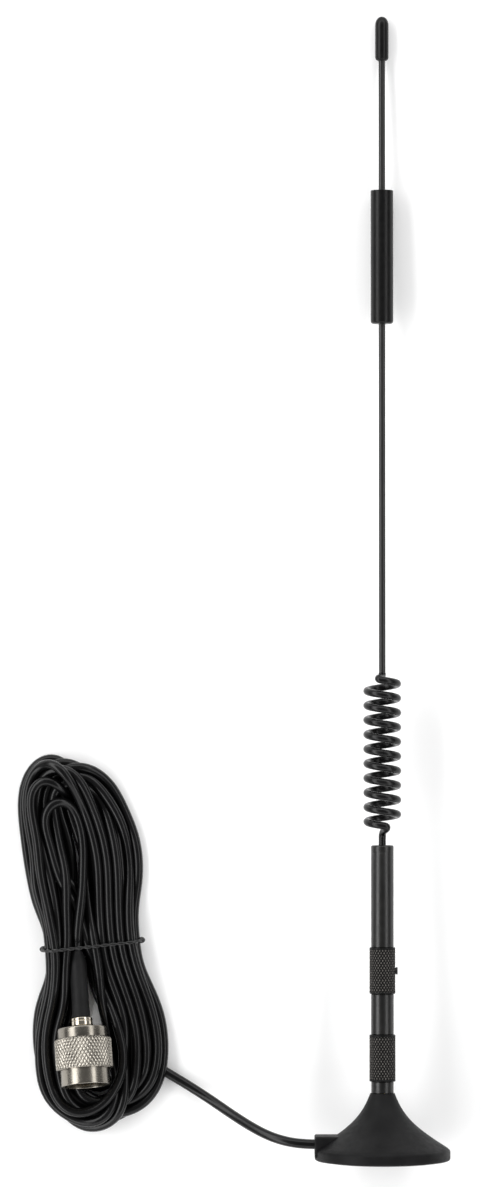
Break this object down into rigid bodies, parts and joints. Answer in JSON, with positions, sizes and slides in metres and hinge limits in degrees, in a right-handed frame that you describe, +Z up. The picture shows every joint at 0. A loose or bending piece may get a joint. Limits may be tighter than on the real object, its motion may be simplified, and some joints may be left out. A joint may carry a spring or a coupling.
{
  "type": "omnidirectional antenna",
  "caption": "Magnetic-mount whip antenna with a flared base, a phasing coil, knurled collars, and a tied cable that ends in a threaded coaxial plug.",
  "frame": {"origin": "on the table top, under the middle of the antenna as it lies there on the rim of its base and its tip cap", "axes": "+Z up from the table, +Y along the mast from the base to the tip, -X towards the side where the cable leaves the base"},
  "size_m": [0.1153, 0.3046, 0.0361],
  "materials": {
    "shell_black": "moulded satin black plastic",
    "pad_rubber": "thin matt pad",
    "ferrite": "dull sintered ferrite",
    "zinc_steel": "zinc-plated steel",
    "nylon_white": "natural nylon and fluoropolymer",
    "brass": "machined brass",
    "mast_black": "satin black plating",
    "collar_black": "black plated, knurled",
    "screw_steel": "black oxide steel",
    "spring_black": "black coated spring wire",
    "sleeve_black": "semi-gloss black plastic",
    "cable_pvc": "glossy black jacket",
    "tie_black": "plastic-coated wire",
    "boot_rubber": "heat-shrink sleeve",
    "nickel": "bright nickel plating",
    "gasket_red": "silicone seal"
  },
  "bodies": {
    "base": {"base_shell": "shell_black", "base_pad": "pad_rubber", "magnet_ring": "ferrite", "steel_pot": "zinc_steel", "stud_insulator": "nylon_white", "mast_stud": "brass", "neck_bush": "mast_black", "feed_tab": "brass", "cable_grommet": "boot_rubber", "coax_tail": "cable_pvc", "cable_lead": "cable_pvc", "cable_hank": "cable_pvc", "hank_tie": "tie_black", "cable_boot": "boot_rubber", "crimp_ferrule": "nickel", "plug_body": "nickel", "plug_gasket": "gasket_red", "plug_insulator": "nylon_white", "centre_pin": "brass"},
    "mast_foot": {"mid_tube": "mast_black", "upper_collar": "collar_black"},
    "lower_collar": {"lower_collar": "collar_black"},
    "set_screw": {"set_screw": "screw_steel"},
    "upper_mast": {"mast_core": "brass", "upper_mast_tube": "mast_black"},
    "coil": {"phasing_coil": "spring_black"},
    "whip": {"main_rod": "spring_black", "upper_sleeve": "sleeve_black", "sleeve_core": "nylon_white", "top_rod": "spring_black", "tip_cap": "sleeve_black"},
    "coupling_nut": {"coupling_nut": "nickel"}
  },
  "joints": [
    {"name": "mast_lift", "type": "slide", "parent": "base", "child": "mast_foot", "axis": [0, 0.9985, -0.0544], "range_m": [0, 0.0096]},
    {"name": "collar_turn", "type": "hinge", "parent": "mast_foot", "child": "lower_collar", "pos_m": [0, -0.12402, 0.01664], "axis": [0, 0.9985, -0.0544], "range_deg": [0, 4321]},
    {"name": "set_screw_turn", "type": "hinge", "parent": "mast_foot", "child": "set_screw", "pos_m": [0, -0.1011, 0.01539], "axis": [1, 0, 0], "range_deg": [0, 720]},
    {"name": "mast_pull", "type": "slide", "parent": "mast_foot", "child": "upper_mast", "axis": [0, 0.9985, -0.0544], "range_m": [0, 0.0085]},
    {"name": "coil_bend_side", "type": "hinge", "parent": "upper_mast", "child": "coil", "pos_m": [0, -0.05312, 0.01278], "axis": [0, 0.0544, 0.9985], "range_deg": [-30, 30], "stiffness_Nm_per_rad": 0.14},
    {"name": "coil_bend_up", "type": "hinge", "parent": "coil", "child": "whip", "pos_m": [0, -0.03365, 0.01172], "axis": [1, 0, 0], "range_deg": [0, 30], "stiffness_Nm_per_rad": 0.14, "deforming": ["phasing_coil"]},
    {"name": "nut_turn", "type": "hinge", "parent": "base", "child": "coupling_nut", "pos_m": [-0.07931, -0.1241, 0.01197], "axis": [0.0711, -0.9677, 0.2419], "continuous": true}
  ],
  "couplings": [
    {"joint": "collar_turn", "follows": "mast_lift", "rad_per_m": 7854}
  ]
}
